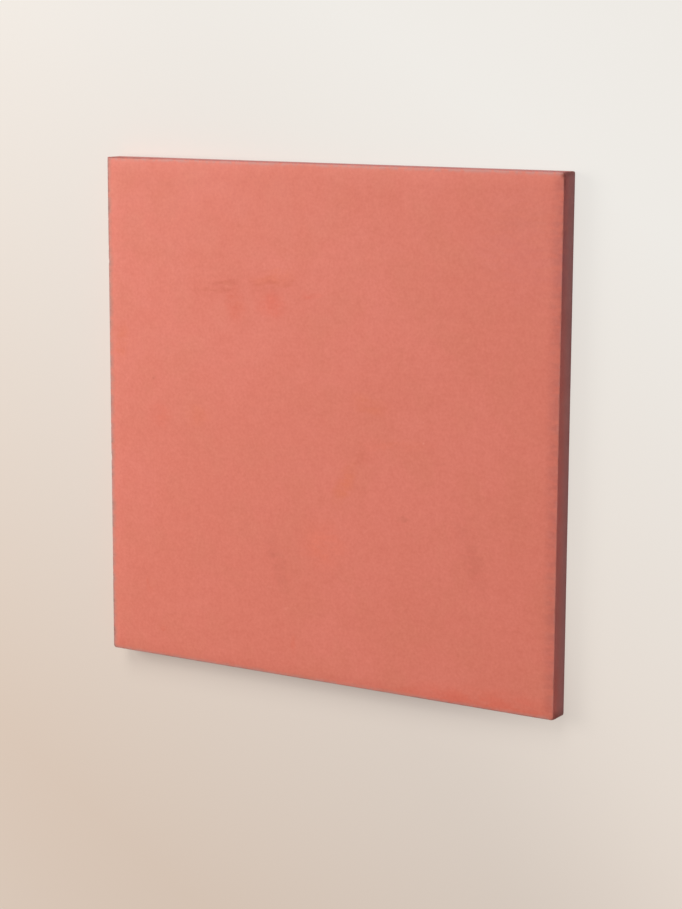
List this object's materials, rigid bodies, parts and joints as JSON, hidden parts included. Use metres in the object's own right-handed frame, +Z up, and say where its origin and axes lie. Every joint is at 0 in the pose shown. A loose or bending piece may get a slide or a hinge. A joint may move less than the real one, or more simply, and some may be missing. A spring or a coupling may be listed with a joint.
{
  "type": "terracotta floor tile",
  "caption": "Square unglazed terracotta floor tile with softly cushioned face margins and a grooved underside that keys into bedding mortar.",
  "frame": {"origin": "middle of the underside, on the surface that the tile lies on", "axes": "+Z up out of the wearing face; X and Y along the tile's sides, with the keying grooves along Y"},
  "size_m": [0.3, 0.3, 0.014],
  "materials": {
    "fired_clay": "matte"
  },
  "bodies": {
    "root": {"floor_tile": "fired_clay"}
  },
  "joints": []
}
